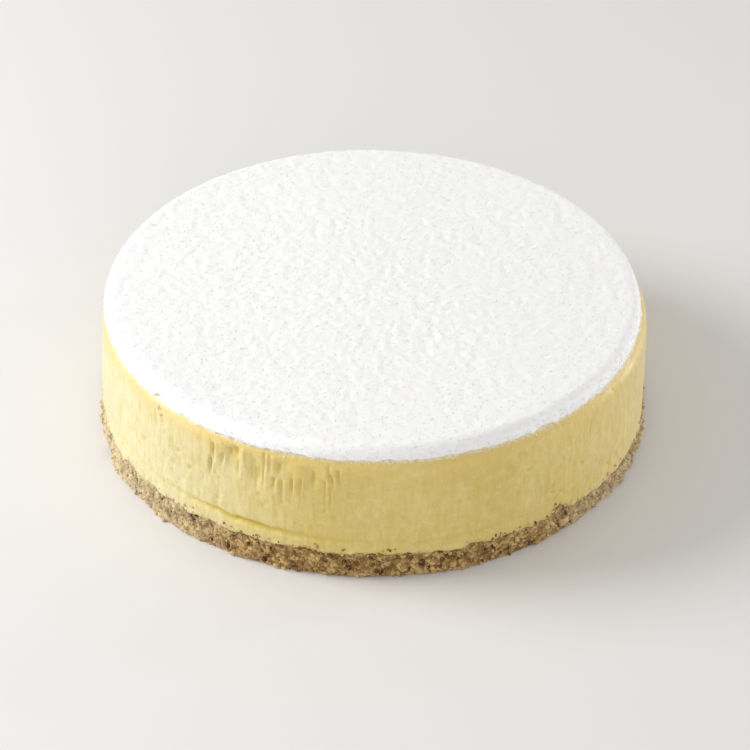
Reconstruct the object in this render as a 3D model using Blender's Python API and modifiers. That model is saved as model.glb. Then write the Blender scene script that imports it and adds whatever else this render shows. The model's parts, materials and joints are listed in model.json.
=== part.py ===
"""New York cheesecake: a crumb base, a cheese filling and a sugary white topping.

Three solids, one above the other, each as wide as the cake. Units are metres, +Z is up,
-Y is the front, and the origin is the middle of the flat underside.
"""
import math

import bmesh
import bpy
from mathutils import Vector, noise

# Driving dimensions
CAKE_HEIGHT = 0.0561
BASE_RADIUS = 0.1053
SHOULDER_RADIUS = 0.1035
SIDE_SHIFT = 0.0011
CAP_SHIFT = 0.0009
TOP_TILT = 0.011

CRUMB_HEIGHT = 0.0094
CRUMB_TILT = 0.0017
CRUMB_THICK_ANGLE = math.radians(215)
BASE_CHAMFER = 0.0008

FILLING_TOP = 0.0530
SHOULDER_FOOT = 0.0460
SHOULDER_START = 0.0940
SHOULDER_WIDTH = SHOULDER_RADIUS - SHOULDER_START
SHOULDER_DROP = FILLING_TOP - SHOULDER_FOOT
SHOULDER_TURNS = tuple(math.radians(turn) for turn in (0, 25, 50, 70, 90))
COVERED_TURNS = SHOULDER_TURNS[:3]

TOPPING_RADIUS = 0.1020
RIM_WIDTH = 0.0043
RIM_HEIGHT = 0.0052

GAP = 0.0003
SEGMENTS = 180
MERGE_DISTANCE = 0.00005
SHARP_ANGLE = math.radians(50)

# Inside the flat core the layers meet in flat faces. The relief grows from there to the side.
FLAT_CORE = 0.086
RELIEF_RING = 0.0965
FULL_RELIEF = 0.1036

# Where the outlines have points: shares of the base's height, heights on the filling's side
# and radii on the topping's top
CRUMB_ROWS = (1.0, 0.76, 0.53, 0.30)
FILLING_ROWS = (0.0410, 0.0350, 0.0275, 0.0210, 0.0180, 0.0160, 0.0145, 0.0125)
TOPPING_RINGS = (0.0, 0.045, 0.075, 0.090)
RIM_TURNS = tuple(math.radians(turn) for turn in (0, 30, 60, 90))

# Relief on the side, as depths and the sizes of its bumps
WAVE_DEPTH = 0.0005
WAVE_SIZE = 0.030
CRAG_DEPTH = 0.0011
CRAG_SIZE = 0.0045
CRAG_FADE_START = CRUMB_HEIGHT - 0.001
CRAG_FADE_END = CRUMB_HEIGHT + 0.002
EDGE_DEPTH = 0.0011
EDGE_SIZE = 0.009
RAGGED_DEPTH = 0.0007
RAGGED_SIZE = 0.006
SWELL_DEPTH = 0.0004
SWELL_SIZE = 0.045

# The crease that runs round the filling above the base
CREASE_HEIGHT = 0.0148
CREASE_RISE = 0.0036
CREASE_LOW_ANGLE = math.radians(275)
CREASE_REACH = 0.0013
CREASE_DEPTH = 0.0005
DEEP_CREASE_DEPTH = 0.0011
DEEP_CREASE_ANGLE = math.radians(244)
DEEP_CREASE_SPREAD = math.radians(14)

# A tooth of crumb pushed up into the filling: angle, height and half-width
TOOTH_ANGLE = math.radians(310.5)
TOOTH_HEIGHT = 0.0034
TOOTH_SPREAD = math.radians(2.0)

# Marks dragged down the filling under the topping: angle, height, half-width, half-height, depth
DRAG_MARKS = (
    (math.radians(240.0), 0.044, 0.0030, 0.0060, 0.0014),
    (math.radians(245.5), 0.040, 0.0026, 0.0070, 0.0012),
    (math.radians(251.5), 0.046, 0.0028, 0.0040, 0.0011),
    (math.radians(257.5), 0.043, 0.0034, 0.0050, 0.0010),
)

# Where a crumb of the topping has broken away at the rim
NICK_ANGLE = math.radians(220.5)
NICK_SPREAD = math.radians(1.8)
NICK_DEPTH = 0.0024

# The way that the topping's lower edge slides over the shoulder, inwards and up
SLIDE_IN = 0.48
SLIDE_UP = 0.88

CRUMB_COLOUR = (0.41, 0.25, 0.10, 1.0)
FILLING_COLOUR = (0.72, 0.58, 0.26, 1.0)
TOPPING_COLOUR = (0.90, 0.90, 0.87, 1.0)


def turn_between(angle, middle):
    """The turn from one angle to another, from -pi to pi."""
    return math.remainder(angle - middle, 2 * math.pi)


def hump(distance, spread):
    """A smooth bump of height one at no distance."""
    return math.exp(-((distance / spread) ** 2))


def ease(value, low, high):
    """Rises smoothly from zero at low to one at high."""
    share = min(max((value - low) / (high - low), 0.0), 1.0)
    return share * share * (3 - 2 * share)


def bumps(point, size, seed):
    """Smooth noise with bumps of a given size, from about -1 to 1."""
    return noise.noise(point / size + Vector((seed, 2.7 * seed, -1.3 * seed)))


def crumb_lift(point, angle, radius):
    """How far the top of the crumb stands above its mean height."""
    tilt = CRUMB_TILT * math.cos(angle - CRUMB_THICK_ANGLE)
    on_side = Vector((point.x, point.y, 0.0))
    edge = EDGE_DEPTH * bumps(on_side, EDGE_SIZE, 3.1)
    tooth = TOOTH_HEIGHT * hump(turn_between(angle, TOOTH_ANGLE), TOOTH_SPREAD)
    return (tilt + edge + tooth) * ease(radius, FLAT_CORE, BASE_RADIUS)


def crease_depth(angle, height):
    """How deep the crease in the filling is."""
    line = CREASE_HEIGHT + CREASE_RISE * (1 - math.cos(angle - CREASE_LOW_ANGLE))
    deep = hump(turn_between(angle, DEEP_CREASE_ANGLE), DEEP_CREASE_SPREAD)
    depth = CREASE_DEPTH + DEEP_CREASE_DEPTH * deep
    return depth * hump(height - line, CREASE_REACH)


def drag_depth(angle, height):
    """How deep the dragged marks under the topping are."""
    depth = 0.0
    for middle, level, half_width, half_height, mark_depth in DRAG_MARKS:
        along = turn_between(angle, middle) * SHOULDER_RADIUS
        depth += mark_depth * hump(along, half_width) * hump(height - level, half_height)
    return depth


def side_offset(point, angle, height):
    """How far the side stands out from its plain cone at an angle and a height."""
    wave = WAVE_DEPTH * bumps(point, WAVE_SIZE, 1.3)
    in_crumb = 1 - ease(height, CRAG_FADE_START, CRAG_FADE_END)
    clear_of_floor = ease(height, 0.0, BASE_CHAMFER)
    crags = CRAG_DEPTH * bumps(point, CRAG_SIZE, 5.9) * in_crumb * clear_of_floor
    return wave + crags - crease_depth(angle, height) - drag_depth(angle, height)


def edge_slide(point, angle):
    """How far the topping's lower edge is drawn up over the filling's shoulder."""
    ragged = RAGGED_DEPTH * bumps(point, RAGGED_SIZE, 8.2)
    nick = NICK_DEPTH * hump(turn_between(angle, NICK_ANGLE), NICK_SPREAD)
    at_edge = 1 - ease(point.z, CAKE_HEIGHT - RIM_HEIGHT, FILLING_TOP + GAP)
    return (ragged + nick) * at_edge


def topping_swell(point):
    """How far the topping's surface stands above its mean height."""
    above_underside = ease(point.z, FILLING_TOP + 2 * GAP, CAKE_HEIGHT)
    return SWELL_DEPTH * bumps(point, SWELL_SIZE, 4.4) * above_underside


def leaning(height):
    """How far the cake's middle is off the axis at a height."""
    side = SIDE_SHIFT * (height / CAKE_HEIGHT - 0.5)
    return side - CAP_SHIFT * ease(height, SHOULDER_FOOT, FILLING_TOP)


def tilted(point):
    """How far a point is raised or lowered because the top isn't quite level."""
    return -TOP_TILT * point.x * min(point.z / FILLING_TOP, 1.0)


def shaped(point, in_topping):
    """Moves a point of the plain turned cake to where the real cake has it."""
    radius = math.hypot(point.x, point.y)
    if radius < GAP:
        return point.copy()
    angle = math.atan2(point.y, point.x)
    height = point.z + tilted(point)
    if in_topping:
        slide = edge_slide(point, angle)
        height += topping_swell(point) + SLIDE_UP * slide
        radius -= SLIDE_IN * slide
    else:
        above_floor = ease(point.z, 0.0, CRUMB_HEIGHT)
        below_shoulder = 1 - ease(point.z, CRUMB_HEIGHT + GAP, SHOULDER_FOOT)
        height += crumb_lift(point, angle, radius) * above_floor * below_shoulder
        at_side = ease(radius, FLAT_CORE, FULL_RELIEF)
        uncovered = 1 - ease(point.z, SHOULDER_FOOT, SHOULDER_FOOT + 0.5 * SHOULDER_DROP)
        radius += side_offset(point, angle, point.z) * at_side * uncovered
    return Vector((radius * math.cos(angle) + leaning(point.z), radius * math.sin(angle), height))


def cone_radius(height):
    """The plain radius of the side, which narrows a little towards the top."""
    return BASE_RADIUS + (SHOULDER_RADIUS - BASE_RADIUS) * height / SHOULDER_FOOT


def shoulder_point(turn, clearance):
    """A point on the filling's round shoulder, or clear of it by a distance."""
    across = SHOULDER_START + SHOULDER_WIDTH * math.sin(turn)
    height = SHOULDER_FOOT + SHOULDER_DROP * math.cos(turn)
    outwards = Vector((math.sin(turn) / SHOULDER_WIDTH, math.cos(turn) / SHOULDER_DROP)).normalized()
    return across + clearance * outwards.x, height + clearance * outwards.y


def crumb_profile():
    """The base's outline, from the middle of its top to the middle of its underside."""
    heights = [share * CRUMB_HEIGHT for share in CRUMB_ROWS] + [BASE_CHAMFER]
    outline = [(radius, CRUMB_HEIGHT) for radius in (0.0, FLAT_CORE, RELIEF_RING)]
    outline += [(cone_radius(height), height) for height in heights]
    outline += [(BASE_RADIUS - BASE_CHAMFER, 0.0), (0.0, 0.0)]
    return outline


def filling_profile():
    """The filling's outline: its top, a round shoulder, the side and its underside."""
    underside = CRUMB_HEIGHT + GAP
    outline = [(0.0, FILLING_TOP)]
    outline += [shoulder_point(turn, 0.0) for turn in SHOULDER_TURNS]
    outline += [(cone_radius(height), height) for height in FILLING_ROWS + (underside,)]
    outline += [(radius, underside) for radius in (RELIEF_RING, FLAT_CORE, 0.0)]
    return outline


def topping_profile():
    """The topping's outline: a level top, a soft rim and the underside that fits the filling."""
    outline = [(radius, CAKE_HEIGHT) for radius in TOPPING_RINGS]
    for turn in RIM_TURNS:
        across = TOPPING_RADIUS - RIM_WIDTH * (1 - math.sin(turn))
        outline.append((across, CAKE_HEIGHT - RIM_HEIGHT * (1 - math.cos(turn))))
    outline += [shoulder_point(turn, GAP) for turn in reversed(COVERED_TURNS)]
    outline.append((0.0, FILLING_TOP + GAP))
    return outline


def plain_material(name, colour, roughness):
    """A Principled material with one colour."""
    material = bpy.data.materials.new(name)
    material.use_nodes = True
    shader = material.node_tree.nodes["Principled BSDF"]
    shader.inputs["Base Color"].default_value = colour
    shader.inputs["Roughness"].default_value = roughness
    shader.inputs["Metallic"].default_value = 0.0
    return material


def turned(name, outline):
    """Turns an outline about the Z axis and returns the evaluated mesh."""
    mesh = bpy.data.meshes.new(name + "_outline")
    guide = bpy.data.objects.new(name + "_outline", mesh)
    bpy.context.scene.collection.objects.link(guide)
    edges = [(index, index + 1) for index in range(len(outline) - 1)]
    mesh.from_pydata([(radius, 0.0, height) for radius, height in outline], edges, [])
    screw = guide.modifiers.new("turn", "SCREW")
    screw.axis = "Z"
    screw.angle = 2 * math.pi
    screw.steps = SEGMENTS
    screw.render_steps = SEGMENTS
    screw.use_merge_vertices = True
    screw.merge_threshold = MERGE_DISTANCE
    depsgraph = bpy.context.evaluated_depsgraph_get()
    solid = bpy.data.meshes.new_from_object(guide.evaluated_get(depsgraph))
    bpy.data.objects.remove(guide)
    return solid


def layer(name, outline, material, collection, in_topping=False):
    """One layer of the cake: a turned solid with its relief, in triangles."""
    mesh = turned(name, outline)
    mesh.name = name
    work = bmesh.new()
    work.from_mesh(mesh)
    for vertex in work.verts:
        vertex.co = shaped(vertex.co, in_topping)
    bmesh.ops.triangulate(work, faces=work.faces[:], quad_method="SHORT_EDGE")
    work.to_mesh(mesh)
    work.free()
    mesh.shade_smooth()
    mesh.set_sharp_from_angle(angle=SHARP_ANGLE)
    mesh.materials.clear()
    mesh.materials.append(material)
    item = bpy.data.objects.new(name, mesh)
    collection.objects.link(item)
    return item


def centre(items):
    """Moves the layers together so that the cake's box is centred on the origin."""
    points = [vertex.co for item in items for vertex in item.data.vertices]
    middle_x = (min(point.x for point in points) + max(point.x for point in points)) / 2
    middle_y = (min(point.y for point in points) + max(point.y for point in points)) / 2
    for item in items:
        for vertex in item.data.vertices:
            vertex.co.x -= middle_x
            vertex.co.y -= middle_y


def main():
    for item in list(bpy.data.objects):
        bpy.data.objects.remove(item)
    cake = bpy.data.collections.new("new_york_cheesecake")
    bpy.context.scene.collection.children.link(cake)
    crumb = plain_material("biscuit_crumb", CRUMB_COLOUR, 0.9)
    cheese = plain_material("baked_cheese", FILLING_COLOUR, 0.55)
    sugar = plain_material("white_sugar", TOPPING_COLOUR, 0.85)
    layers = [
        layer("crumb_base", crumb_profile(), crumb, cake),
        layer("cheese_filling", filling_profile(), cheese, cake),
        layer("sugar_topping", topping_profile(), sugar, cake, in_topping=True),
    ]
    centre(layers)
    for item in layers:
        print(item.name, len(item.data.polygons), "triangles")


main()
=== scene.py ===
# %% [markdown]
# # A New York cheesecake in three layers
# A baked cheesecake shows its layers at the side: biscuit crumb pressed into a base, a tall
# smooth cheese filling, and here a thin snowy topping. Each layer gets its own mesh and its own
# finish. The solid model of the cake is loaded first, and every size below comes from it or
# from a named value, so that the surface detail always lies where the solid cake is.

# %% Open the solid cake
import json
import math
import random

import bmesh
import bpy
from mathutils import Matrix, Vector, kdtree, noise

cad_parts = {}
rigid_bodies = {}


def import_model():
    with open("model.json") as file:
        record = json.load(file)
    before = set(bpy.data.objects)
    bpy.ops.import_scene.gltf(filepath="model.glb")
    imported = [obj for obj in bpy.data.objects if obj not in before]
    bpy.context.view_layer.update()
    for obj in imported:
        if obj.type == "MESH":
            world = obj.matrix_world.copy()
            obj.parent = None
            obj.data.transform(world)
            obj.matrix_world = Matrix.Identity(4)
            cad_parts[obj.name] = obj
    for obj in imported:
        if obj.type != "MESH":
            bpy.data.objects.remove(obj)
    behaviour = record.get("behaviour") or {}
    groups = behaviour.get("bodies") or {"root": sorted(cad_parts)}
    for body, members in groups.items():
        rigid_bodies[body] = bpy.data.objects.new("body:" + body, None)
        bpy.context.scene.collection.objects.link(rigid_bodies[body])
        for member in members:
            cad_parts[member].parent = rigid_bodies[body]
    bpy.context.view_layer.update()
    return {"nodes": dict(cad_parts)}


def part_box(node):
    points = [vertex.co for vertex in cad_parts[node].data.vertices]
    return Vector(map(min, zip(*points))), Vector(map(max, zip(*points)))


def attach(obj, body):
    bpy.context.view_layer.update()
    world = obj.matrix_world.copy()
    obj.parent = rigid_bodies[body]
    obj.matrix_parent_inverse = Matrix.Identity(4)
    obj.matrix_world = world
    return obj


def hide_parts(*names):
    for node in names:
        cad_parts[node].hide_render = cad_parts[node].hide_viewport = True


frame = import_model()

MM = 0.001
crumb_low, crumb_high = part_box("crumb_base")
filling_low, filling_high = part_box("cheese_filling")
topping_low, topping_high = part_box("sugar_topping")


def in_mm(values, digits=1):
    return [round(value / MM, digits) for value in values]


print("crumb lies between, in mm:", in_mm((crumb_low.z, crumb_high.z)))
print("filling lies between, in mm:", in_mm((filling_low.z, filling_high.z)))
print("topping lies between, in mm:", in_mm((topping_low.z, topping_high.z)))

# %% [markdown]
# ## Find the cake's axis
# The solid layers were turned about one upright axis. Each of their meshes has a point on that
# axis, in the middle of its flat face, and no other point near it. Reading that point is
# safer than halving the box, because a rough edge moves the box a little.

# %% Read the axis from the topping's middle point
topping_middle = (topping_low + topping_high) / 2
axis_point = min(
    (vertex.co for vertex in frame["nodes"]["sugar_topping"].data.vertices),
    key=lambda spot: (spot - topping_middle).xy.length,
)
AXIS = Vector((axis_point.x, axis_point.y, 0.0))
print("axis, in mm:", in_mm(AXIS, digits=2))

# %% [markdown]
# ## Name the sizes
# A surface that is worked out from a handful of sizes can be corrected in one place. These are
# the sizes of the solid cake, repeated here because its own script isn't read.

# %% The cake's driving sizes
CAKE_HEIGHT = 56.1 * MM
BASE_RADIUS = 105.3 * MM
SHOULDER_RADIUS = 103.5 * MM
SIDE_SHIFT = 1.1 * MM  # how far the side leans, from its foot to the top
CAP_SHIFT = 0.9 * MM  # how far the round shoulder and the top lie back from that lean
TOP_TILT = 0.011  # how steeply the top rises towards the left
CRUMB_HEIGHT = 9.4 * MM
CRUMB_TILT = 1.7 * MM  # how much higher the crumb is on its thick side than on average
CRUMB_THICK_ANGLE = math.radians(215)
FILLING_TOP = 53.0 * MM
SHOULDER_FOOT = 46.0 * MM
SHOULDER_START = 94.0 * MM
SHOULDER_WIDTH = SHOULDER_RADIUS - SHOULDER_START
SHOULDER_DROP = FILLING_TOP - SHOULDER_FOOT
TOPPING_RADIUS = 102.0 * MM
RIM_WIDTH = 4.3 * MM
RIM_HEIGHT = 5.2 * MM
GAP = 0.3 * MM  # between one layer and the next
FLAT_CORE = 86.0 * MM  # the relief starts at this radius
FULL_RELIEF = 103.6 * MM  # and has its full height from this one

# %% [markdown]
# ## Small helpers for bumps
# Perlin noise gives soft random bumps, and always the same ones at the same place. Each kind of
# bump is shifted to a place of its own in the noise, so that no two kinds rise together. A hump
# is a single smooth bump, and ease fades a bump out where it must end.

# %% Bumps, humps and fades
def turn_between(angle, middle):
    return math.remainder(angle - middle, 2 * math.pi)


def hump(distance, spread):
    return math.exp(-((distance / spread) ** 2))


def ease(value, low, high):
    share = min(max((value - low) / (high - low), 0.0), 1.0)
    return share * share * (3 - 2 * share)


def bumps(point, size, shift):
    return noise.noise(point / size + Vector((shift, 2.7 * shift, -1.3 * shift)))


def ripple(point, height, size, shift):
    return height * bumps(point, size, shift)


# %% [markdown]
# ## The line between crumb and filling
# The filling was poured on the pressed crumb, so the crumb's upper edge wanders. It stands
# higher on one side of the cake, and one tooth of crumb is pushed up into the filling.

# %% Height of the crumb's upper edge
TOOTH_ANGLE = math.radians(310.5)
TOOTH_HEIGHT = 3.6 * MM
TOOTH_SPREAD = math.radians(1.6)


def crumb_lift(point, angle, radius):
    on_side = Vector((point.x, point.y, 0.0))
    edge = ripple(on_side, height=1.1 * MM, size=9 * MM, shift=3.1)
    edge += ripple(on_side, height=0.7 * MM, size=2.6 * MM, shift=6.7)
    tooth = TOOTH_HEIGHT * hump(turn_between(angle, TOOTH_ANGLE), TOOTH_SPREAD)
    tilt = CRUMB_TILT * math.cos(angle - CRUMB_THICK_ANGLE)
    return (tilt + edge + tooth) * ease(radius, FLAT_CORE, BASE_RADIUS)


# %% [markdown]
# ## The crease and the drag marks
# The cake came out of a ring or a lining that was pulled away. That leaves a crease round
# the filling above the base, deepest at the front left, and marks dragged down from its top.

# %% Depth of the crease and of the drag marks
CREASE_HEIGHT = 14.8 * MM
CREASE_RISE = 3.6 * MM
CREASE_LOW_ANGLE = math.radians(275)
CREASE_DEPTH = 0.35 * MM
CREASE_BELOW = 0.7 * MM  # how far it spreads downwards
CREASE_ABOVE = 1.5 * MM  # and upwards
DEEP_CREASE_ANGLE = math.radians(244)
DEEP_CREASE_SPREAD = math.radians(12)
DEEP_CREASE_DEPTH = 1.5 * MM
# angle, height, half-width, half-height and depth of each drag mark
DRAG_MARKS = (
    (math.radians(240.0), 44 * MM, 3.0 * MM, 6.0 * MM, 1.4 * MM),
    (math.radians(245.5), 40 * MM, 2.6 * MM, 7.0 * MM, 1.2 * MM),
    (math.radians(251.5), 46 * MM, 2.8 * MM, 4.0 * MM, 1.1 * MM),
    (math.radians(257.5), 43 * MM, 3.4 * MM, 5.0 * MM, 1.0 * MM),
)


def crease_line(angle):
    return CREASE_HEIGHT + CREASE_RISE * (1 - math.cos(turn_between(angle, CREASE_LOW_ANGLE)))


def crease_depth(angle, height):
    deep = hump(turn_between(angle, DEEP_CREASE_ANGLE), DEEP_CREASE_SPREAD)
    above = height - crease_line(angle)
    reach = CREASE_BELOW if above < 0 else CREASE_ABOVE
    return (CREASE_DEPTH + DEEP_CREASE_DEPTH * deep) * hump(above, reach)


def drag_depth(angle, height):
    depth = 0.0
    for middle, level, half_width, half_height, mark_depth in DRAG_MARKS:
        along = turn_between(angle, middle) * SHOULDER_RADIUS
        depth += mark_depth * hump(along, half_width) * hump(height - level, half_height)
    return depth


# %% [markdown]
# ## Turn an outline into a layer
# A round layer is made as on a lathe: its outline is drawn once, as a chain of points from
# the axis out and back to the axis, and the spin operator sweeps the chain through a full turn.
# A spin slows down with the square of its steps, so it takes few, and the edges that run round
# the layer are then cut into shorter ones.

# %% A lathe made of bmesh operators
SPIN_STEPS = 180
MERGE_DISTANCE = 0.001 * MM


def runs_round(edge):
    """Whether an edge runs round the axis, and not along the outline."""
    first, second = (corner.co for corner in edge.verts)
    same_height = abs(first.z - second.z) < MERGE_DISTANCE
    return same_height and abs(first.xy.length - second.xy.length) < MERGE_DISTANCE


def show(name, mesh):
    """Puts a mesh into the scene as a piece, and prints how many triangles it has."""
    item = bpy.data.objects.new(name, mesh)
    bpy.context.scene.collection.objects.link(item)
    print(name, "has", sum(len(face.vertices) - 2 for face in mesh.polygons), "triangles")
    return item


def turned(name, outline, cuts):
    work = bmesh.new()
    spots = [work.verts.new((radius, 0.0, height)) for radius, height in outline]
    edges = [work.edges.new(pair) for pair in zip(spots, spots[1:])]
    bmesh.ops.spin(
        work, geom=spots + edges, cent=(0, 0, 0), axis=(0, 0, 1), dvec=(0, 0, 0),
        angle=2 * math.pi, steps=SPIN_STEPS, use_merge=True,
    )
    bmesh.ops.remove_doubles(work, verts=work.verts[:], dist=MERGE_DISTANCE)
    round_edges = [edge for edge in work.edges if runs_round(edge)]
    bmesh.ops.subdivide_edges(work, edges=round_edges, cuts=cuts)
    bmesh.ops.recalc_face_normals(work, faces=work.faces[:])
    mesh = bpy.data.meshes.new(name)
    work.to_mesh(mesh)
    work.free()
    mesh.shade_smooth()
    return show(name, mesh)


def rows(high, low, step):
    """Evenly spaced values from the first to the last."""
    count = max(1, round(abs(high - low) / step))
    return [high + (low - high) * index / count for index in range(count + 1)]


def cone_radius(height):
    return BASE_RADIUS + (SHOULDER_RADIUS - BASE_RADIUS) * height / SHOULDER_FOOT


def shoulder_point(turn, clearance):
    """A point on the filling's round shoulder, or clear of it by a distance."""
    sine, cosine = math.sin(turn), math.cos(turn)
    outwards = Vector((sine / SHOULDER_WIDTH, cosine / SHOULDER_DROP)).normalized()
    across = SHOULDER_START + SHOULDER_WIDTH * sine + clearance * outwards.x
    height = SHOULDER_FOOT + SHOULDER_DROP * cosine + clearance * outwards.y
    return across, height


# %% [markdown]
# ## Move a layer's points
# Every point is pushed in or out by the sum of the bumps at its place. The depth of each
# hollow is also kept on the point as an attribute, which the material reads to paint shade into
# it. The cake isn't quite true either: it leans a little, and its top is higher on one side.

# %% Push the points of a layer
def leaning(height):
    side = SIDE_SHIFT * (height / CAKE_HEIGHT - 0.5)
    return side - CAP_SHIFT * ease(height, SHOULDER_FOOT, FILLING_TOP)


def tilted(point):
    return -TOP_TILT * point.x * min(point.z / FILLING_TOP, 1.0)


def relief(item, shape):
    hollow = item.data.attributes.new("hollow", "FLOAT", "POINT")
    for vertex in item.data.vertices:
        point = vertex.co.copy()
        radius = point.xy.length
        if radius < GAP:
            vertex.co = point + AXIS
            continue
        angle = math.atan2(point.y, point.x)
        out, up, depth = shape(point, angle, radius)
        radius += out
        across = radius * math.cos(angle) + leaning(point.z)
        moved = Vector((across, radius * math.sin(angle), point.z + tilted(point) + up))
        vertex.co = moved + AXIS
        # kept as the amount of painted shade in this hollow
        hollow.data[vertex.index].value = depth / MM


def at_side(radius):
    return ease(radius, FLAT_CORE, FULL_RELIEF)


# %% [markdown]
# ## The crumb base
# Pressed biscuit crumb is a wall of grains. Voronoi noise gives such a wall, because the
# distance to the nearest of its scattered points rises like the side of a rounded grain. Two
# sizes of it are added, and where a grain has fallen out there is a pit.

# %% Relief of the crumb
BASE_CHAMFER = 0.8 * MM
GRAIN_SIZES = ((2.3 * MM, 0.75 * MM), (1.1 * MM, 0.35 * MM))  # width and height of each
GRAIN_MIDDLE = 0.45  # the usual distance to the nearest point, in widths
PIT_SIZE = 2.9 * MM
PIT_DEPTH = 1.3 * MM
PIT_SPREAD = 0.28  # in pit sizes
PIT_SHIFT = Vector((7.1, 0.0, 3.3))
CRAG_SHADE = 0.5  # how much a crag darkens the crumb, against a pit as deep


def side_wave(point):
    return ripple(point, height=0.5 * MM, size=30 * MM, shift=1.3)


def side_crags(point):
    return ripple(point, height=1.1 * MM, size=4.5 * MM, shift=5.9)


def grain_wall(point):
    rise = 0.0
    for size, height in GRAIN_SIZES:
        distances, _ = noise.voronoi(point / size)
        rise += height * (GRAIN_MIDDLE - distances[0])
    distances, _ = noise.voronoi(point / PIT_SIZE + PIT_SHIFT)
    in_patches = ease(bumps(point, 6 * MM, 9.4), -0.05, 0.25)
    pit = PIT_DEPTH * hump(distances[0], PIT_SPREAD) * in_patches
    return rise - pit, pit


def crumb_shape(point, angle, radius):
    height = point.z
    crags = side_crags(point)
    grains, pit = grain_wall(point)
    rough = ease(height, 0.0, BASE_CHAMFER)
    out = (side_wave(point) + (crags + grains) * rough) * at_side(radius)
    lift = crumb_lift(point, angle, radius) * ease(height, 0.0, CRUMB_HEIGHT)
    # painted shade in the pits and in the hollows of grains and crags
    depth = pit + max(0.0, -grains) + max(0.0, -crags) * CRAG_SHADE
    return out, lift, depth * rough


# %% Make the crumb layer
SIDE_STEP = 0.5 * MM
COVERED_RINGS = (0.0, FLAT_CORE, 97 * MM, 101 * MM, 103 * MM)
crumb_side = rows(CRUMB_HEIGHT, BASE_CHAMFER, SIDE_STEP)
crumb_outline = [(radius, CRUMB_HEIGHT) for radius in COVERED_RINGS]
crumb_outline += [(cone_radius(height), height) for height in crumb_side]
crumb_outline += [(BASE_RADIUS - BASE_CHAMFER, 0.0), (FLAT_CORE, 0.0), (0.0, 0.0)]
crumb_layer = turned("crumb_layer", crumb_outline, cuts=6)
relief(crumb_layer, crumb_shape)

# %% [markdown]
# ## The cheese filling
# The filling is smooth, but not perfect. On top of the crease and the drag marks it has fine
# upright strokes, where it slid along the lining, and a soft unevenness that catches the light.

# %% Relief of the filling
UNDERSIDE = CRUMB_HEIGHT + GAP
CRAG_FADE = 2 * MM  # the crumb's crags end this far up the filling
DRAG_SHADE = 0.15  # how much a drag mark darkens it, against a crease as deep
# width, length, depth and shift in the noise of each kind of upright stroke
STROKE_KINDS = ((1.3 * MM, 13 * MM, 0.09 * MM, 2.0), (3.4 * MM, 22 * MM, 0.16 * MM, 8.0))


def strokes(angle, height):
    along = angle * SHOULDER_RADIUS
    return sum(
        depth * noise.noise(Vector((along / width, height / length, shift)))
        for width, length, depth, shift in STROKE_KINDS
    )


def filling_shape(point, angle, radius):
    height = point.z
    uncovered = 1 - ease(height, SHOULDER_FOOT, SHOULDER_FOOT + 0.5 * SHOULDER_DROP)
    side = at_side(radius) * uncovered
    near_crumb = 1 - ease(height, UNDERSIDE, SHOULDER_FOOT)
    lift = crumb_lift(point, angle, radius) * near_crumb
    crags = side_crags(point) * (1 - ease(height, UNDERSIDE, UNDERSIDE + CRAG_FADE))
    soft = ripple(point, height=0.12 * MM, size=5 * MM, shift=2.2)
    soft += ripple(point, height=0.05 * MM, size=1.4 * MM, shift=7.7)
    crease = crease_depth(angle, height)
    drag = drag_depth(angle, height)
    out = side_wave(point) + crags + soft + strokes(angle, height) - crease - drag
    # the third value is the painted shade of the crease and the drag marks
    return out * side, lift, (crease + DRAG_SHADE * drag) * side


# %% Make the filling
# turns along the round shoulder, first under the topping and then below its edge
COVERED_TURNS = tuple(math.radians(turn) for turn in (0, 12.5, 25, 37.5, 50))
BARE_TURNS = tuple(math.radians(turn) for turn in range(55, 90, 5))
FILLING_ROW = 0.7 * MM
filling_side = rows(SHOULDER_FOOT, UNDERSIDE, FILLING_ROW)
filling_outline = [(0.0, FILLING_TOP)]
filling_outline += [shoulder_point(turn, 0.0) for turn in COVERED_TURNS + BARE_TURNS]
filling_outline += [(cone_radius(height), height) for height in filling_side]
filling_outline += [(radius, UNDERSIDE) for radius in reversed(COVERED_RINGS)]
filling_layer = turned("filling_layer", filling_outline, cuts=7)
relief(filling_layer, filling_shape)

# %% [markdown]
# ## Pits and strokes in the filling
# Air bubbles and touches leave small pits, and the lining dragged narrow upright strokes down
# from the top, each with a thin burr beside it. A k-d tree finds the points round each mark
# quickly, so only those are pushed.

# %% A tool that finds and pushes points
class Presser:
    """Pushes a layer's points inwards near a place, and notes how deep they went."""

    def __init__(self, item):
        self.points = item.data.vertices
        self.hollow = item.data.attributes["hollow"].data
        self.tree = kdtree.KDTree(len(self.points))
        for vertex in self.points:
            self.tree.insert(vertex.co, vertex.index)
        self.tree.balance()

    def press(self, angle, height, reach, depth_at):
        """depth_at gives the depth at a distance across and up from the place."""
        outwards = Vector((math.cos(angle), math.sin(angle), 0.0))
        sideways = Vector((-outwards.y, outwards.x, 0.0))
        middle = AXIS + outwards * cone_radius(height) + Vector((0.0, 0.0, height))
        for spot, index, _ in self.tree.find_range(middle, reach):
            away = spot - middle
            push = depth_at(away.dot(sideways), away.z)
            self.points[index].co -= outwards * push
            # the pushed depth also adds painted shade to the mark
            self.hollow[index].value += push / MM


# %% Press pits and strokes into the side
FULL_TURN = (0.0, 2 * math.pi)
DRAGGED = (math.radians(235), math.radians(264))
BUBBLE_HEIGHTS = (CRUMB_HEIGHT + 3 * MM, SHOULDER_FOOT + 2 * MM)
BUBBLE_WIDTHS = (0.4, 1.0)  # in millimetres
BUBBLE_DEPTHS = (0.35, 0.65)  # as shares of the width
STROKE_START = 0.12  # the share of a stroke's length in which it deepens
STROKE_FADE = 0.35  # and the share from which it fades
BURR_HEIGHT = 0.4  # as a share of the stroke's depth
BURR_AWAY = 2.1  # from its middle, in half-widths
BUBBLE_REACH = 2.5  # past this many widths a pit has no depth worth pushing


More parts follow.
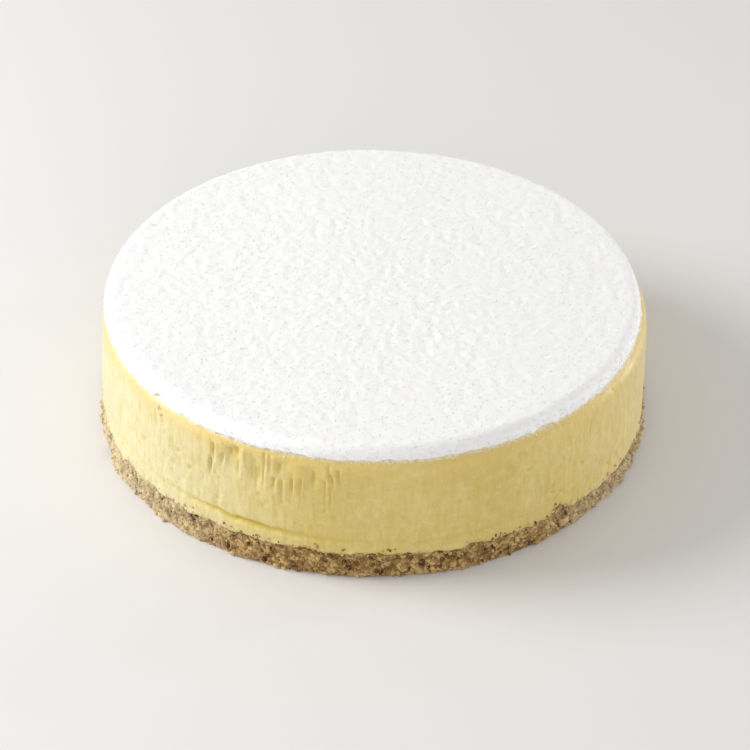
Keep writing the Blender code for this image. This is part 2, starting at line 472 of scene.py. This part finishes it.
def press_pits(presser, count, seed):
    draw = random.Random(seed)
    for _ in range(count):
        angle = draw.uniform(*FULL_TURN)
        height = draw.uniform(*BUBBLE_HEIGHTS)
        size = draw.uniform(*BUBBLE_WIDTHS) * MM
        depth = size * draw.uniform(*BUBBLE_DEPTHS)

        def pit(across, up):
            return depth * hump(math.hypot(across, up), size)

        presser.press(angle, height, BUBBLE_REACH * size, pit)


def press_stroke(presser, angle, top, length, half_width, depth):
    """A groove that starts sharply at its top, fades downwards and has a burr on one side."""
    def groove(across, up):
        share = 0.5 - up / length
        along = ease(share, 0.0, STROKE_START) * (1 - ease(share, STROKE_FADE, 1.0))
        burr = BURR_HEIGHT * hump(across - BURR_AWAY * half_width, half_width)
        return depth * along * (hump(across, half_width) - burr)

    presser.press(angle, top - length / 2, 0.6 * length + 3 * half_width, groove)


def press_strokes(presser, count, seed, angles, tops, lengths, half_widths, depths):
    draw = random.Random(seed)
    for _ in range(count):
        angle, top, length, half_width, depth = (
            draw.uniform(low, high) for low, high in (angles, tops, lengths, half_widths, depths)
        )
        press_stroke(presser, angle, top, length, half_width, depth)


presser = Presser(filling_layer)
press_pits(presser, count=420, seed=11)
press_strokes(
    presser, count=34, seed=12, angles=DRAGGED,
    tops=(40 * MM, 50 * MM), lengths=(4 * MM, 14 * MM),
    half_widths=(0.35 * MM, 0.7 * MM), depths=(0.25 * MM, 0.8 * MM),
)
press_strokes(
    presser, count=260, seed=13, angles=FULL_TURN,
    tops=(20 * MM, 49 * MM), lengths=(2 * MM, 7 * MM),
    half_widths=(0.4 * MM, 0.9 * MM), depths=(0.05 * MM, 0.2 * MM),
)
press_stroke(
    presser, math.radians(241.3),
    top=49 * MM, length=7 * MM, half_width=1.4 * MM, depth=1.1 * MM,
)
print("pressed pits and strokes into the filling")

# %% [markdown]
# ## The snowy topping
# The topping lies on the filling as an even layer and drapes over its round shoulder. Its lower
# edge is a little ragged, and at one place a crumb of it has broken away. To keep its thickness
# there, the edge slides along the shoulder, inwards and up.

# %% Relief of the topping
NICK_ANGLE = math.radians(220.5)
NICK_SPREAD = math.radians(1.6)
NICK_DEPTH = 2.4 * MM
SLIDE_IN = 0.48  # parts in and up of a step along the shoulder
SLIDE_UP = 0.88
TOPPING_FOOT = FILLING_TOP + GAP


def edge_slide(point, angle):
    """How far the topping's lower edge is drawn up over the filling's shoulder."""
    ragged = ripple(point, height=0.7 * MM, size=6 * MM, shift=8.2)
    ragged += ripple(point, height=0.8 * MM, size=2.2 * MM, shift=5.5)
    nick = NICK_DEPTH * hump(turn_between(angle, NICK_ANGLE), NICK_SPREAD)
    at_edge = 1 - ease(point.z, CAKE_HEIGHT - RIM_HEIGHT, TOPPING_FOOT)
    return (ragged + nick) * at_edge


def topping_shape(point, angle, radius):
    slide = edge_slide(point, angle)
    swell = ripple(point, height=0.4 * MM, size=45 * MM, shift=4.4)
    swell *= ease(point.z, TOPPING_FOOT + GAP, CAKE_HEIGHT)
    dapple = ripple(point, height=0.27 * MM, size=2.6 * MM, shift=1.9)
    dapple += ripple(point, height=0.20 * MM, size=5 * MM, shift=6.1)
    outside = ease(point.z, TOPPING_FOOT, CAKE_HEIGHT)
    lift = swell + SLIDE_UP * slide + dapple * outside
    # the dapple's hollows get a faint painted shade
    return -SLIDE_IN * slide, lift, max(0.0, -dapple)


# %% Make the topping
TOPPING_RING = 0.8 * MM
RIM_STEPS = 12
flat_radii = rows(0.0, TOPPING_RADIUS - RIM_WIDTH, TOPPING_RING)
topping_outline = [(radius, CAKE_HEIGHT) for radius in flat_radii]
for step in range(1, RIM_STEPS + 1):
    turn = math.radians(90 * step / RIM_STEPS)
    across = TOPPING_RADIUS - RIM_WIDTH * (1 - math.sin(turn))
    topping_outline.append((across, CAKE_HEIGHT - RIM_HEIGHT * (1 - math.cos(turn))))
topping_outline += [shoulder_point(turn, GAP) for turn in reversed(COVERED_TURNS)]
topping_outline.append((0.0, TOPPING_FOOT))
topping_layer = turned("topping_layer", topping_outline, cuts=2)
relief(topping_layer, topping_shape)

# %% [markdown]
# ## Write nodes as sums
# Blender's materials are networks of nodes. Wire lets an output be used in a sum, as a number
# can, and Recipe makes any other node in one call: its kind, then its settings, then the values
# or wires that go into its sockets.

# %% Two small classes for node trees
class Wire:
    """An output of a node. Sums of wires and numbers add Math nodes."""

    def __init__(self, recipe, node, output):
        self.recipe = recipe
        self.made = node
        self.socket = node.outputs[output] if node.outputs else None

    def out(self, name):
        return Wire(self.recipe, self.made, name)

    def maths(self, operation, first, second, clamp=False):
        settings = {"operation": operation, "use_clamp": clamp}
        return self.recipe.node("ShaderNodeMath", settings, {0: first, 1: second})

    def __add__(self, other):
        return self.maths("ADD", self, other)

    def __mul__(self, other):
        return self.maths("MULTIPLY", self, other)

    __radd__ = __add__
    __rmul__ = __mul__

    def clamped(self):
        return self.maths("ADD", self, 0.0, clamp=True)


class Recipe:
    """A node tree, written one call to a node."""

    def __init__(self, tree):
        self.tree = tree

    def node(self, kind, settings=None, inputs=None, output=0):
        made = self.tree.nodes.new(kind)
        for name, value in (settings or {}).items():
            if name == "stops":
                set_stops(made.color_ramp, value)
            else:
                setattr(made, name, value)
        for key, value in (inputs or {}).items():
            if isinstance(value, Wire):
                self.tree.links.new(value.socket, made.inputs[key])
            else:
                made.inputs[key].default_value = value
        return Wire(self, made, output)

    def noise(self, place, size, detail=2.0, roughness=0.5):
        values = {"Vector": place, "Scale": 1 / size, "Detail": detail, "Roughness": roughness}
        return self.node("ShaderNodeTexNoise", {}, values)

    def mix(self, share, first, second):
        """Mixes two colours, which are inputs 6 and 7 and output 2 of a Mix node."""
        settings = {"data_type": "RGBA", "blend_type": "MIX", "clamp_factor": True}
        return self.node("ShaderNodeMix", settings, {0: share, 6: first, 7: second}, output=2)

    def ramp(self, value, stops):
        return self.node("ShaderNodeValToRGB", {"stops": stops}, {"Fac": value})

    def faded(self, value, low, high, at_low=0.0, at_high=1.0):
        values = {
            "Value": value, "From Min": low, "From Max": high, "To Min": at_low, "To Max": at_high,
        }
        return self.node("ShaderNodeMapRange", {"interpolation_type": "SMOOTHSTEP"}, values)

    def attribute(self, name):
        return self.node("ShaderNodeAttribute", {"attribute_name": name}, output="Fac")

    def along(self, place, axis):
        return self.node("ShaderNodeSeparateXYZ", {}, {0: place}, output=axis)

    def bump(self, height, strength, distance):
        values = {"Strength": strength, "Distance": distance, "Height": height}
        return self.node("ShaderNodeBump", {}, values, output="Normal")


def set_stops(ramp, stops):
    while len(ramp.elements) > 1:
        ramp.elements.remove(ramp.elements[-1])
    ramp.elements[0].position, ramp.elements[0].color = stops[0]
    for position, colour in stops[1:]:
        ramp.elements.new(position).color = colour


def start_finish(name):
    """A material with only a Principled shader and its output."""
    material = bpy.data.materials.new(name)
    material.use_nodes = True
    recipe = Recipe(material.node_tree)
    shader = material.node_tree.nodes["Principled BSDF"]
    place = recipe.node("ShaderNodeTexCoord", output="Object")
    return material, recipe, shader, place


def plug(recipe, shader, **inputs):
    """Joins wires to the shader's sockets, named with _ for a space."""
    for name, wire in inputs.items():
        recipe.tree.links.new(wire.socket, shader.inputs[name.replace("_", " ")])


def rgb(red, green, blue):
    return (red, green, blue, 1.0)


# %% [markdown]
# ## Finish of the filling
# Baked cheese is a warm cream, with painted shade in its hollows as a deeper gold, and it lets
# some light in. Its tone wanders softly, it is pricked with tiny flecks, and painted light makes
# it paler towards the left. The tones are laid over the cream one after another, each by its own
# share.

# %% Baked cheese
CREAM = rgb(0.70, 0.55, 0.195)
DEEP_CREAM = rgb(0.66, 0.51, 0.155)
# painted light: the cream is paler towards the lit left side
PAINTED_LIGHT_CREAM = rgb(0.73, 0.74, 0.56)
STREAK_GOLD = rgb(0.59, 0.44, 0.10)
PATCH_GOLD = rgb(0.60, 0.46, 0.11)
CURD_PALE = rgb(0.77, 0.69, 0.38)
WARM_TOP = rgb(0.74, 0.55, 0.175)
# painted shade for the creases, pits and strokes
HOLLOW_SHADE_GOLD = rgb(0.60, 0.45, 0.045)
FLECK_TAN = rgb(0.62, 0.44, 0.12)
EDGE_TAN = rgb(0.66, 0.43, 0.14)
FALLEN_WHITE = rgb(0.94, 0.93, 0.87)
STREAK_SQUEEZE = (1.0, 1.0, 0.2)  # makes the streaks five times as tall as wide


def cheese_colour(recipe, place, streak, curd):
    across = recipe.along(place, "X")
    height = recipe.along(place, "Z")
    level = height + across * TOP_TILT
    tone = recipe.noise(place, 24 * MM, 3.0)
    patch = recipe.noise(place, 8 * MM, 3.0, 0.6)
    near_top = recipe.faded(height, 40 * MM, 50 * MM)
    near_edge = recipe.faded(level, 47.2 * MM, 49.0 * MM)
    fleck = recipe.faded(recipe.noise(place, 1.5 * MM, 1.0), 0.66, 0.74)
    edge_fleck = recipe.faded(recipe.noise(place, 1.2 * MM, 1.0), 0.58, 0.66) * near_edge
    fringe = recipe.noise(place, 1.0 * MM, 3.0) * (3 * MM) + level
    layers = (
        # painted light: paler towards the left, where the key lamp falls
        (recipe.faded(across, -15 * MM, -85 * MM, 0.0, 0.48), PAINTED_LIGHT_CREAM),
        (recipe.faded(streak, 0.48, 0.68, 0.0, 0.34), STREAK_GOLD),
        (recipe.faded(patch, 0.50, 0.66, 0.0, 0.22), PATCH_GOLD),
        (recipe.faded(curd, 0.50, 0.70, 0.0, 0.30), CURD_PALE),
        (recipe.faded(curd, 0.48, 0.30, 0.0, 0.30), STREAK_GOLD),
        (near_top * recipe.faded(tone, 0.3, 0.6, 0.2, 0.7), WARM_TOP),
        # painted shade in the hollows
        ((recipe.attribute("hollow") * 0.60).clamped(), HOLLOW_SHADE_GOLD),
        (fleck * 0.4, FLECK_TAN),
        (edge_fleck * 0.35, EDGE_TAN),
        (recipe.faded(fringe, 50.7 * MM, 52.8 * MM) * 0.8, FALLEN_WHITE),
    )
    cream = recipe.mix(recipe.faded(tone, 0.35, 0.65), CREAM, DEEP_CREAM)
    for share, colour in layers:
        cream = recipe.mix(share, cream, colour)
    return cream


def cheese_finish():
    material, recipe, shader, place = start_finish("baked_cheese")
    settings = {"operation": "MULTIPLY"}
    upright = recipe.node("ShaderNodeVectorMath", settings, {0: place, 1: STREAK_SQUEEZE})
    streak = recipe.noise(upright, 1.6 * MM, 3.0)
    curd = recipe.noise(place, 2.8 * MM, 3.0, 0.6)
    cream = cheese_colour(recipe, place, streak, curd)
    fine = recipe.noise(place, 0.7 * MM, 3.0) * 0.6 + streak * 0.35 + curd * 0.9
    bump = recipe.bump(fine, strength=0.5, distance=0.35 * MM)
    rough = recipe.faded(recipe.noise(place, 9 * MM), 0.3, 0.7, 0.44, 0.60)
    plug(recipe, shader, Base_Color=cream, Roughness=rough, Normal=bump)
    shader.inputs["Subsurface Weight"].default_value = 0.12
    shader.inputs["Subsurface Radius"].default_value = (3 * MM, 2 * MM, 1 * MM)
    shader.inputs["Subsurface Scale"].default_value = 1.0
    shader.inputs["Specular IOR Level"].default_value = 0.5
    shader.inputs["Sheen Weight"].default_value = 0.35
    shader.inputs["Sheen Roughness"].default_value = 0.4
    return material


# %% [markdown]
# ## Finish of the crumb
# Each biscuit crumb was baked to its own brown. Voronoi cells give each its tone, painted light
# makes the crumb paler towards the left and the right, and the hollow attribute paints shade into
# the pits between them.

# %% Biscuit crumb
CRUMB_DARK = rgb(0.135, 0.058, 0.014)
CRUMB_MID = rgb(0.35, 0.21, 0.066)
CRUMB_PALE = rgb(0.66, 0.47, 0.195)
# the paler colour of painted light on the crumb's sides
CRUMB_PAINTED_LIGHT = rgb(0.74, 0.63, 0.40)
# painted shade for the pits
CRUMB_PIT_SHADE = rgb(0.11, 0.045, 0.010)


def painted_light_sides(recipe, place, brown):
    """Painted light: the crumb is paler towards the left and the right of the cake."""
    across = recipe.along(place, "X")
    on_left = recipe.faded(across, -40 * MM, -98 * MM, 0.0, 0.72)
    on_right = recipe.faded(across, 55 * MM, 85 * MM, 0.0, 0.36)
    return recipe.mix(on_left + on_right, brown, CRUMB_PAINTED_LIGHT)


def crumb_finish():
    material, recipe, shader, place = start_finish("biscuit_crumb")
    in_cells = {"Vector": place, "Scale": 1 / (2.0 * MM)}
    cells = recipe.node("ShaderNodeTexVoronoi", {}, in_cells, output="Color")
    cell_tone = recipe.node("ShaderNodeSeparateColor", {}, {0: cells})
    tone = cell_tone * 0.7 + recipe.noise(place, 0.9 * MM) * 0.5
    brown = recipe.ramp(tone, ((0.15, CRUMB_DARK), (0.5, CRUMB_MID), (0.95, CRUMB_PALE)))
    # painted light, paler at the sides
    brown = painted_light_sides(recipe, place, brown)
    # painted shade in the pits
    brown = recipe.mix((recipe.attribute("hollow") * 1.1).clamped(), brown, CRUMB_PIT_SHADE)
    bump = recipe.bump(recipe.noise(place, 0.5 * MM, 3.0), strength=0.7, distance=0.3 * MM)
    plug(recipe, shader, Base_Color=brown, Normal=bump)
    shader.inputs["Roughness"].default_value = 0.88
    shader.inputs["Specular IOR Level"].default_value = 0.25
    shader.inputs["Sheen Weight"].default_value = 0.25
    return material


def loose_crumb_finish():
    material, recipe, shader, place = start_finish("loose_crumb")
    tone = recipe.attribute("own_tone") * 0.8 + recipe.noise(place, 0.6 * MM) * 0.3
    brown = recipe.ramp(tone, ((0.1, CRUMB_DARK), (0.5, CRUMB_MID), (0.95, CRUMB_PALE)))
    # painted light, paler at the sides, as on the crumb base
    brown = painted_light_sides(recipe, place, brown)
    bump = recipe.bump(recipe.noise(place, 0.3 * MM, 2.0), strength=0.6, distance=0.2 * MM)
    plug(recipe, shader, Base_Color=brown, Normal=bump)
    shader.inputs["Roughness"].default_value = 0.85
    shader.inputs["Specular IOR Level"].default_value = 0.25
    return material


# %% [markdown]
# ## Finish of the topping
# The topping is white and lets light through, so its hollows stay pale, with only a faint painted
# shade. The loose grains are plain white, because a grain half sunk in the topping turns dark if
# light goes through it too, and a few are faintly grey.

# %% Snowy white
SNOW = rgb(0.92, 0.93, 0.925)
# a faint painted shade for the hollows
SNOW_HOLLOW_SHADE = rgb(0.89, 0.905, 0.90)
GRAIN_WHITE = rgb(0.94, 0.945, 0.94)
GRAIN_GREY = rgb(0.90, 0.915, 0.915)
GLOW_DEPTH = 1.2 * MM


def snow_finish():
    material, recipe, shader, place = start_finish("snowy_topping")
    # faint painted shade in the hollows
    white = recipe.mix((recipe.attribute("hollow") * 1.2).clamped(), SNOW, SNOW_HOLLOW_SHADE)
    bump = recipe.bump(recipe.noise(place, 0.6 * MM, 2.0), strength=0.25, distance=0.2 * MM)
    plug(recipe, shader, Base_Color=white, Normal=bump)
    shader.inputs["Roughness"].default_value = 0.75
    shader.inputs["Specular IOR Level"].default_value = 0.25
    shader.inputs["Subsurface Weight"].default_value = 1.0
    shader.inputs["Subsurface Radius"].default_value = (GLOW_DEPTH, GLOW_DEPTH, GLOW_DEPTH)
    shader.inputs["Subsurface Scale"].default_value = 1.0
    return material


def grain_finish():
    material, recipe, shader, _ = start_finish("white_grain")
    is_grey = recipe.faded(recipe.attribute("own_tone"), 0.90, 1.0)
    plug(recipe, shader, Base_Color=recipe.mix(is_grey, GRAIN_WHITE, GRAIN_GREY))
    shader.inputs["Roughness"].default_value = 0.7
    shader.inputs["Specular IOR Level"].default_value = 0.2
    return material


# %% [markdown]
# ## Scatter grains with Geometry Nodes
# Thousands of grains would be slow to place one by one. A small Geometry Nodes tree spreads
# points over a surface, puts one of a few model grains on each point, turned and sized at
# random, and makes them real mesh. The result is kept as one plain mesh.

# %% Where grains may lie, and the scattering tree
CROWDING = 1.5  # how many points are tried on the square of the spacing


def set_cover(item, cover):
    """Keeps on each point how thickly grains cover it, from 0 to 1."""
    attributes = item.data.attributes
    attribute = attributes.get("cover") or attributes.new("cover", "FLOAT", "POINT")
    for vertex in item.data.vertices:
        attribute.data[vertex.index].value = cover(vertex.co - AXIS, vertex.normal)


def scatter_tree(models, spacing, smallest, largest, tilt, seed):
    tree = bpy.data.node_groups.new("scatter", "GeometryNodeTree")
    tree.interface.new_socket("Geometry", in_out="INPUT", socket_type="NodeSocketGeometry")
    tree.interface.new_socket("Geometry", in_out="OUTPUT", socket_type="NodeSocketGeometry")
    recipe = Recipe(tree)
    surface = recipe.node("NodeGroupInput")
    number = {"data_type": "FLOAT"}
    cover = recipe.node("GeometryNodeInputNamedAttribute", number, {"Name": "cover"})
    points = recipe.node(
        "GeometryNodeDistributePointsOnFaces", {"distribute_method": "POISSON"},
        {"Mesh": surface, "Distance Min": spacing, "Density Max": CROWDING / spacing ** 2,
         "Density Factor": cover, "Seed": seed},
    )
    grains = recipe.node(
        "GeometryNodeCollectionInfo", {},
        {"Collection": models, "Separate Children": True, "Reset Children": True},
    )
    turn = recipe.node(
        "FunctionNodeRandomValue", {"data_type": "FLOAT_VECTOR"},
        {0: (-tilt, -tilt, 0.0), 1: (tilt, tilt, 2 * math.pi), "Seed": seed + 1},
    )
    turned_grain = recipe.node(
        "FunctionNodeRotateRotation", {"rotation_space": "LOCAL"},
        {"Rotation": points.out("Rotation"), "Rotate By": turn},
    )
    sizes = {2: smallest, 3: largest, "Seed": seed + 2}
    size = recipe.node("FunctionNodeRandomValue", number, sizes, output=1)
    placed = recipe.node(
        "GeometryNodeInstanceOnPoints", {},
        {"Points": points, "Instance": grains, "Pick Instance": True,
         "Rotation": turned_grain, "Scale": size},
    )
    tones = {2: 0.0, 3: 1.0, "Seed": seed + 3}
    tone = recipe.node("FunctionNodeRandomValue", number, tones, output=1)
    toned = recipe.node(
        "GeometryNodeStoreNamedAttribute", {"data_type": "FLOAT", "domain": "INSTANCE"},
        {"Geometry": placed, "Name": "own_tone", "Value": tone},
    )
    real = recipe.node("GeometryNodeRealizeInstances", {}, {"Geometry": toned})
    recipe.node("NodeGroupOutput", {}, {"Geometry": real})
    return tree


def scatter(name, surface, models, spacing, sizes, tilt, seed, finish):
    tree = scatter_tree(models, spacing, sizes[0], sizes[1], tilt, seed)
    carrier = bpy.data.objects.new(name + "_carrier", surface.data)
    bpy.context.scene.collection.objects.link(carrier)
    modifier = carrier.modifiers.new("scatter", "NODES")
    modifier.node_group = tree
    depsgraph = bpy.context.evaluated_depsgraph_get()
    mesh = bpy.data.meshes.new_from_object(carrier.evaluated_get(depsgraph))
    bpy.data.objects.remove(carrier)
    mesh.name = name
    mesh.materials.clear()
    mesh.materials.append(finish)
    return show(name, mesh)


# %% [markdown]
# ## Model grains
# A few uneven grains are enough, because each copy is turned and sized in its own way. A grain
# starts as an icosphere of 20 faces, or 80 for a coarse crumb. It is stretched, and small bumps
# push its points in and out.

# %% Make a few grains of each kind
LUMP_SIZE = 0.55  # of a grain's width


def model_grains(name, count, faces_level, stretch, jitter, seed):
    draw = random.Random(seed)
    models = bpy.data.collections.new(name)
    bpy.context.scene.collection.children.link(models)
    for index in range(count):
        work = bmesh.new()
        bmesh.ops.create_icosphere(work, subdivisions=faces_level, radius=0.5)
        shape = [draw.uniform(low, high) for low, high in stretch]
        for vertex in work.verts:
            lump = 1 + jitter * bumps(vertex.co, LUMP_SIZE, 10 * seed + index)
            vertex.co = Vector(part * side * lump for part, side in zip(vertex.co, shape))
        mesh = bpy.data.meshes.new(f"{name}_{index}")
        work.to_mesh(mesh)
        work.free()
        mesh.shade_smooth()
        models.objects.link(bpy.data.objects.new(mesh.name, mesh))
    return models


def drop_models(models):
    for item in list(models.objects):
        bpy.data.objects.remove(item)
    bpy.data.collections.remove(models)


# %% [markdown]
# ## Grains on the topping
# Rounded grains and slim little flakes lie loose here and there on the soft surface.

# %% Cover the topping
white_grain = grain_finish()


def topping_cover(spot, normal):
    """Everywhere but on the underside."""
    return ease(normal.z, -0.35, 0.05)


set_cover(topping_layer, topping_cover)
ROUND = ((0.8, 1.2), (0.7, 1.0), (0.4, 0.7))
FLAKE = ((1.2, 1.8), (0.5, 0.8), (0.3, 0.5))
GRAIN_RANGE = (0.4 * MM, 0.9 * MM)
round_models = model_grains(
    "round_model", count=6, faces_level=1, stretch=ROUND, jitter=0.5, seed=3
)
flake_models = model_grains(
    "flake_model", count=6, faces_level=1, stretch=FLAKE, jitter=0.4, seed=4
)
round_grains = scatter(
    "round_grains", topping_layer, round_models,
    spacing=2.0 * MM, sizes=GRAIN_RANGE, tilt=0.5, seed=21, finish=white_grain,
)
flake_grains = scatter(
    "flake_grains", topping_layer, flake_models,
    spacing=2.4 * MM, sizes=GRAIN_RANGE, tilt=0.4, seed=31, finish=white_grain,
)

# %% [markdown]
# ## A fuzzy edge
# Small lumps stand out along the topping's lower edge, and some have trickled down on to the
# filling's shoulder, so that white and cream run into each other.

# %% Lumps on the edge and dust below it
DUST_FOOT = SHOULDER_FOOT + 2.8 * MM  # the dust starts here, and is thick from its top
DUST_TOP = SHOULDER_FOOT + 4.8 * MM
FLUFF = ((0.8, 1.3), (0.7, 1.0), (0.6, 0.9))
fluff_models = model_grains(
    "fluff_model", count=6, faces_level=1, stretch=FLUFF, jitter=0.5, seed=7
)


def true_level(spot):
    """A spot's height with the tilt of the top taken off."""
    return spot.z + TOP_TILT * spot.x


def edge_cover(spot, normal):
    if spot.xy.length < TOPPING_RADIUS - RIM_WIDTH:
        return 0.0
    rim_foot = CAKE_HEIGHT - RIM_HEIGHT
    up_the_rim = ease(true_level(spot), rim_foot, CAKE_HEIGHT - 0.4 * RIM_HEIGHT)
    on_outside = ease(normal.z, -0.5, -0.1)
    return on_outside * (1 - 0.9 * up_the_rim)


def dust_cover(spot, normal):
    patchy = ease(bumps(spot, 5 * MM, 3.7), -0.35, 0.35)
    below_edge = ease(true_level(spot), DUST_FOOT, DUST_TOP)
    return patchy * below_edge * ease(normal.z, -0.2, 0.1)


set_cover(topping_layer, edge_cover)
edge_grains = scatter(
    "edge_grains", topping_layer, fluff_models,
    spacing=0.8 * MM, sizes=GRAIN_RANGE, tilt=math.pi, seed=61, finish=white_grain,
)
set_cover(filling_layer, dust_cover)
dust_grains = scatter(
    "dust_grains", filling_layer, fluff_models,
    spacing=0.95 * MM, sizes=(0.3 * MM, 0.8 * MM), tilt=math.pi, seed=71, finish=white_grain,
)

# %% [markdown]
# ## Crumbs on the base
# Coarse crumbs stand out of the pressed wall, and fine ones fill in between them.

# %% Cover the crumb's side
loose_crumb = loose_crumb_finish()


def crumb_cover(spot, normal):
    on_side = ease(spot.xy.length, 100 * MM, 102 * MM)
    return on_side * ease(spot.z, 0.2 * MM, 1.0 * MM)


set_cover(crumb_layer, crumb_cover)
CRUMB_STRETCH = ((0.9, 1.5), (0.8, 1.2), (0.6, 1.0))
coarse_models = model_grains(
    "coarse_model", count=7, faces_level=2, stretch=CRUMB_STRETCH, jitter=0.6, seed=5
)
fine_models = model_grains(
    "fine_model", count=5, faces_level=1, stretch=CRUMB_STRETCH, jitter=0.5, seed=6
)
coarse_crumbs = scatter(
    "coarse_crumbs", crumb_layer, coarse_models,
    spacing=2.0 * MM, sizes=(0.8 * MM, 2.0 * MM), tilt=math.pi, seed=41, finish=loose_crumb,
)
fine_crumbs = scatter(
    "fine_crumbs", crumb_layer, fine_models,
    spacing=1.0 * MM, sizes=(0.4 * MM, 0.9 * MM), tilt=math.pi, seed=51, finish=loose_crumb,
)

# %% [markdown]
# ## Stray crumbs
# A few crumbs were smeared up over the filling's lower edge, and a small knot of them sits in
# the nick at the rim.

# %% Smear some crumbs on the filling
NICK_PLACE = Vector((math.cos(NICK_ANGLE), math.sin(NICK_ANGLE), 0.0)) * SHOULDER_RADIUS
NICK_PLACE.z = SHOULDER_FOOT + 2.2 * MM
SMEAR_COVER = 0.30
SMEAR_RISE = 1.8 * MM
KNOT_COVER = 0.9
KNOT_SIZE = 1.6 * MM


def stray_cover(spot, normal):
    angle = math.atan2(spot.y, spot.x)
    line = UNDERSIDE + crumb_lift(spot, angle, FULL_RELIEF)
    on_side = ease(spot.xy.length, 101 * MM, 102 * MM)
    smeared = SMEAR_COVER * hump(max(0.0, spot.z - line), SMEAR_RISE) * on_side
    return smeared + KNOT_COVER * hump((spot - NICK_PLACE).length, KNOT_SIZE)


set_cover(filling_layer, stray_cover)
stray_crumbs = scatter(
    "stray_crumbs", filling_layer, coarse_models,
    spacing=0.8 * MM, sizes=(0.5 * MM, 1.2 * MM), tilt=math.pi, seed=83, finish=loose_crumb,
)
for models in (round_models, flake_models, fluff_models, coarse_models, fine_models):
    drop_models(models)

# %% [markdown]
# ## Dress the cake
# Each new layer stands for a solid one, and every piece moves with the cake's one body.

# %% Finishes, and which solid each layer stands for
filling_layer.data.materials.append(cheese_finish())
crumb_layer.data.materials.append(crumb_finish())
topping_layer.data.materials.append(snow_finish())

SLOTS = {
    "crumb": (crumb_layer, coarse_crumbs, fine_crumbs, stray_crumbs),
    "filling": (filling_layer,),
    "topping": (topping_layer, round_grains, flake_grains, edge_grains, dust_grains),
}
for slot_name, slot_pieces in SLOTS.items():
    for piece in slot_pieces:
        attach(piece, "root")
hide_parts("crumb_base")
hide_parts("cheese_filling")
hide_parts("sugar_topping")

# %% [markdown]
# ## Floor, light and camera
# The cake stands on a plain pale floor. A large soft lamp on the left is the key light, an
# even pale sky fills the shadows, and three weak lamps lift the front and the sides.

# %% Floor
FLOOR_COLOUR = rgb(0.765, 0.755, 0.75)
FLOOR_HALF_WIDTH = 4.0


def pale_floor():
    work = bmesh.new()
    bmesh.ops.create_grid(work, x_segments=1, y_segments=1, size=FLOOR_HALF_WIDTH)
    mesh = bpy.data.meshes.new("floor")
    work.to_mesh(mesh)
    work.free()
    material, _, shader, _ = start_finish("pale_floor")
    shader.inputs["Base Color"].default_value = FLOOR_COLOUR
    shader.inputs["Roughness"].default_value = 0.7
    mesh.materials.append(material)
    return show("floor", mesh)


pale_floor()

# %% Lamps and sky
LAMP_AIM = Vector((0.0, 0.0, 0.03))
SKY_COLOUR = rgb(1.0, 0.99, 0.97)
SKY_STRENGTH = 0.56


def soft_lamp(name, place, size, power):
    lamp = bpy.data.lights.new(name, "AREA")
    lamp.shape = "DISK"
    lamp.size = size
    lamp.energy = power
    item = bpy.data.objects.new(name, lamp)
    item.location = place
    item.rotation_euler = (LAMP_AIM - Vector(place)).to_track_quat("-Z", "Y").to_euler()
    bpy.context.scene.collection.objects.link(item)


soft_lamp("key_lamp", (-1.1, 0.15, 0.75), size=0.7, power=13.0)
soft_lamp("low_left_lamp", (-1.0, -0.12, 0.16), size=0.26, power=1.5)
soft_lamp("low_right_lamp", (0.94, 0.34, 0.08), size=0.14, power=3.4)
soft_lamp("front_lamp", (0.15, -1.2, 0.55), size=0.8, power=3.4)
sky = bpy.data.worlds.new("pale_sky")
sky.use_nodes = True
sky_light = sky.node_tree.nodes["Background"]
sky_light.inputs["Color"].default_value = SKY_COLOUR
sky_light.inputs["Strength"].default_value = SKY_STRENGTH
bpy.context.scene.world = sky
bpy.context.scene.view_settings.view_transform = "Standard"

# %% Camera
CAMERA_ELEVATION = math.radians(35.96)
CAMERA_ROLL = math.radians(-0.24)
CAMERA_DISTANCE = 1.163
CAMERA_AIM = AXIS + Vector((0.42, -1.52, 15.73)) * MM
LENS = 144.0
SENSOR_WIDTH = 36.0
lens = bpy.data.cameras.new("camera")
lens.lens = LENS
lens.sensor_width = SENSOR_WIDTH
camera = bpy.data.objects.new("camera", lens)
tilt = Matrix.Rotation(math.pi / 2 - CAMERA_ELEVATION, 4, "X")
look = Matrix.Translation(CAMERA_AIM) @ tilt @ Matrix.Translation((0, 0, CAMERA_DISTANCE))
camera.matrix_world = look @ Matrix.Rotation(CAMERA_ROLL, 4, "Z")
bpy.context.scene.collection.objects.link(camera)
bpy.context.scene.camera = camera

# %% [markdown]
# ## Finish
# The scene is brought up to date once more at the end.

# %% Finish
bpy.context.view_layer.update()
